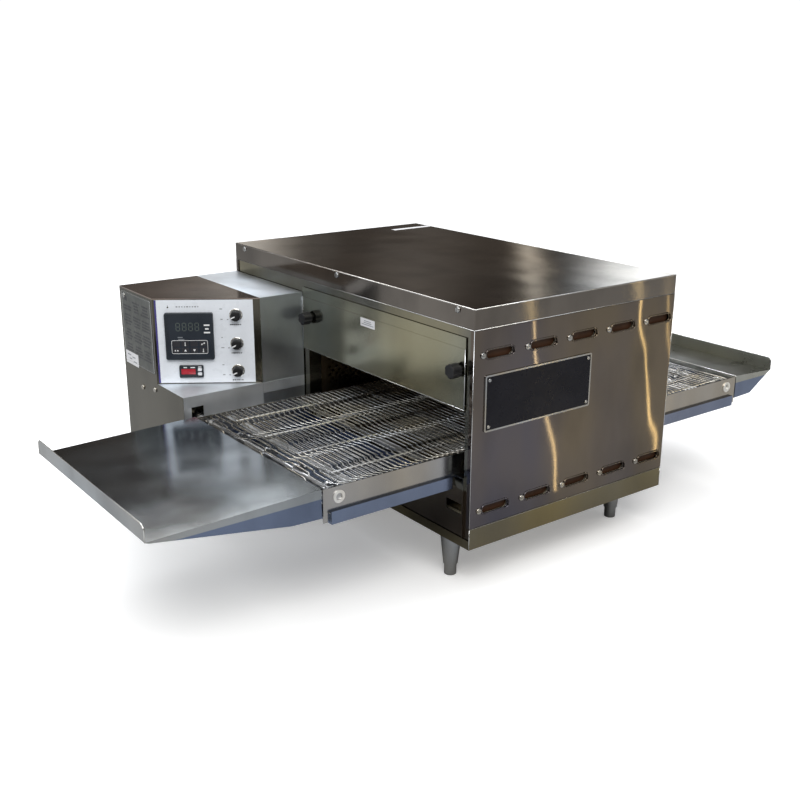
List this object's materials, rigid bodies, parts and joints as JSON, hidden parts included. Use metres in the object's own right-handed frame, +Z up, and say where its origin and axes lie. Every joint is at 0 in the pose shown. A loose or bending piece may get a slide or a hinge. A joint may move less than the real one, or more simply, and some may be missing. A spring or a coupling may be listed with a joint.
{
  "type": "countertop conveyor oven",
  "caption": "Countertop electric conveyor oven with a wire belt, exit trays, sliding end panels, crumb trays and a control cabinet with a slanted face.",
  "frame": {"origin": "on the counter, under the centre of everything that the oven reaches over", "axes": "+X along the belt towards the end away from the control cabinet, -Y out of the long plain face with the badge, +Z up"},
  "size_m": [1.49, 0.837, 0.526],
  "materials": {
    "outer_steel": "bright cold rolled stainless sheet",
    "inner_steel": "heat tinted stainless sheet",
    "belt_wire": "stainless wire",
    "shaft_steel": "turned steel",
    "bright_steel": "polished",
    "insulation": "mineral wool",
    "black_plastic": "moulded",
    "charcoal_plastic": "moulded",
    "white_panel": "printed satin",
    "white_plastic": "moulded",
    "motor_paint": "satin",
    "cast_grey": "cast",
    "heater_sheath": "oxidised",
    "bronze": "sintered",
    "badge": "gloss black with a bright border"
  },
  "bodies": {
    "oven": {"base_pan": "outer_steel", "front_panel": "outer_steel", "rear_panel": "outer_steel", "top_cover": "outer_steel", "skirt_plates": "outer_steel", "control_box_cover": "outer_steel", "side_cover": "outer_steel", "left_end_plate": "inner_steel", "right_end_plate": "inner_steel", "chamber_liner": "inner_steel", "return_air_plate": "inner_steel", "air_fingers": "inner_steel", "plenum_housing": "inner_steel", "conveyor_frame": "inner_steel", "belt_support_frame": "inner_steel", "conveyor_brackets": "inner_steel", "cabinet_base": "inner_steel", "drive_chain": "shaft_steel", "wire_belt": "belt_wire", "insulation": "insulation", "heating_elements": "heater_sheath", "blower_motor": "motor_paint", "gearmotor": "cast_grey", "shaft_bushings": "bronze", "fan_frame": "black_plastic", "cable_gland": "black_plastic", "electrical_parts": "charcoal_plastic", "faceplate": "white_panel", "temperature_controller": "charcoal_plastic", "limit_module": "charcoal_plastic", "badge_plate": "badge", "panel_screws": "bright_steel", "leg_sockets": "bright_steel"},
    "left_panel": {"left_end_panel": "outer_steel"},
    "right_panel": {"right_end_panel": "outer_steel"},
    "left_knob_front": {"left_panel_knob_front": "black_plastic"},
    "left_knob_rear": {"left_panel_knob_rear": "black_plastic"},
    "right_knob_front": {"right_panel_knob_front": "black_plastic"},
    "right_knob_rear": {"right_panel_knob_rear": "black_plastic"},
    "blower": {"blower_wheel": "inner_steel", "blower_shaft": "shaft_steel"},
    "fan": {"fan_rotor": "black_plastic"},
    "drive": {"drive_shaft": "shaft_steel", "drive_sprockets": "shaft_steel"},
    "idler": {"idler_shaft": "shaft_steel", "idler_sprockets": "shaft_steel"},
    "motor_output": {"motor_sprocket": "shaft_steel"},
    "left_pan": {"left_crumb_tray": "outer_steel"},
    "right_pan": {"right_crumb_tray": "outer_steel"},
    "left_tray": {"left_exit_tray": "outer_steel"},
    "right_tray": {"right_exit_tray": "outer_steel"},
    "blower_switch": {"blower_switch_knob": "black_plastic"},
    "heat_switch": {"heat_switch_knob": "black_plastic"},
    "conveyor_switch": {"conveyor_switch_knob": "black_plastic"},
    "button_upper": {"module_button_upper": "white_plastic"},
    "button_lower": {"module_button_lower": "white_plastic"},
    "foot_fl": {"foot_front_left": "bright_steel"},
    "foot_fr": {"foot_front_right": "bright_steel"},
    "foot_rl": {"foot_rear_left": "bright_steel"},
    "foot_rr": {"foot_rear_right": "bright_steel"}
  },
  "joints": [
    {"name": "left_panel_slide", "type": "slide", "parent": "oven", "child": "left_panel", "axis": [0, 0, 1], "range_m": [-0.05, 0.008]},
    {"name": "right_panel_slide", "type": "slide", "parent": "oven", "child": "right_panel", "axis": [0, 0, 1], "range_m": [-0.05, 0.008]},
    {"name": "left_knob_front_turn", "type": "hinge", "parent": "left_panel", "child": "left_knob_front", "pos_m": [-0.181, -0.3795, 0.416], "axis": [-1, 0, 0], "continuous": true},
    {"name": "left_knob_rear_turn", "type": "hinge", "parent": "left_panel", "child": "left_knob_rear", "pos_m": [-0.181, 0.0885, 0.416], "axis": [-1, 0, 0], "continuous": true},
    {"name": "right_knob_front_turn", "type": "hinge", "parent": "right_panel", "child": "right_knob_front", "pos_m": [0.355, -0.3795, 0.416], "axis": [1, 0, 0], "continuous": true},
    {"name": "right_knob_rear_turn", "type": "hinge", "parent": "right_panel", "child": "right_knob_rear", "pos_m": [0.355, 0.0885, 0.416], "axis": [1, 0, 0], "continuous": true},
    {"name": "blower_spin", "type": "hinge", "parent": "oven", "child": "blower", "pos_m": [0.087, 0.1855, 0.308], "axis": [0, 1, 0], "continuous": true},
    {"name": "fan_spin", "type": "hinge", "parent": "oven", "child": "fan", "pos_m": [-0.357, 0.3845, 0.377], "axis": [0, 1, 0], "continuous": true},
    {"name": "drive_spin", "type": "hinge", "parent": "oven", "child": "drive", "pos_m": [-0.414, -0.1575, 0.2465], "axis": [0, 1, 0], "continuous": true},
    {"name": "idler_spin", "type": "hinge", "parent": "oven", "child": "idler", "pos_m": [0.588, -0.1575, 0.2465], "axis": [0, 1, 0], "continuous": true},
    {"name": "motor_output_spin", "type": "hinge", "parent": "oven", "child": "motor_output", "pos_m": [-0.342, 0.1555, 0.168], "axis": [0, 1, 0], "continuous": true},
    {"name": "left_pan_slide", "type": "slide", "parent": "oven", "child": "left_pan", "axis": [-1, 0, 0], "range_m": [0, 0.25]},
    {"name": "right_pan_slide", "type": "slide", "parent": "oven", "child": "right_pan", "axis": [1, 0, 0], "range_m": [0, 0.25]},
    {"name": "left_tray_lift", "type": "slide", "parent": "oven", "child": "left_tray", "axis": [0, 0, 1], "range_m": [0, 0.06]},
    {"name": "right_tray_lift", "type": "slide", "parent": "oven", "child": "right_tray", "axis": [0, 0, 1], "range_m": [0, 0.06]},
    {"name": "blower_switch_turn", "type": "hinge", "parent": "oven", "child": "blower_switch", "pos_m": [-0.31098, 0.14087, 0.429], "axis": [-0.5547, -0.8321, 0], "range_deg": [0, 60]},
    {"name": "heat_switch_turn", "type": "hinge", "parent": "oven", "child": "heat_switch", "pos_m": [-0.31098, 0.14087, 0.3705], "axis": [-0.5547, -0.8321, 0], "range_deg": [0, 60]},
    {"name": "conveyor_switch_turn", "type": "hinge", "parent": "oven", "child": "conveyor_switch", "pos_m": [-0.31098, 0.14087, 0.314], "axis": [-0.5547, -0.8321, 0], "range_deg": [0, 60]},
    {"name": "button_upper_press", "type": "slide", "parent": "oven", "child": "button_upper", "axis": [0.5547, 0.8321, 0], "range_m": [0, 0.001], "stiffness_N_per_m": 200, "springref_m": -0.001},
    {"name": "button_lower_press", "type": "slide", "parent": "oven", "child": "button_lower", "axis": [0.5547, 0.8321, 0], "range_m": [0, 0.001], "stiffness_N_per_m": 200, "springref_m": -0.001},
    {"name": "foot_fl_adjust", "type": "slide", "parent": "oven", "child": "foot_fl", "axis": [0, 0, -1], "range_m": [0, 0.02]},
    {"name": "foot_fr_adjust", "type": "slide", "parent": "oven", "child": "foot_fr", "axis": [0, 0, -1], "range_m": [0, 0.02]},
    {"name": "foot_rl_adjust", "type": "slide", "parent": "oven", "child": "foot_rl", "axis": [0, 0, -1], "range_m": [0, 0.02]},
    {"name": "foot_rr_adjust", "type": "slide", "parent": "oven", "child": "foot_rr", "axis": [0, 0, -1], "range_m": [0, 0.02]}
  ],
  "couplings": [
    {"joint": "idler_spin", "follows": "drive_spin", "ratio": 1},
    {"joint": "motor_output_spin", "follows": "drive_spin", "ratio": 1.5385}
  ]
}
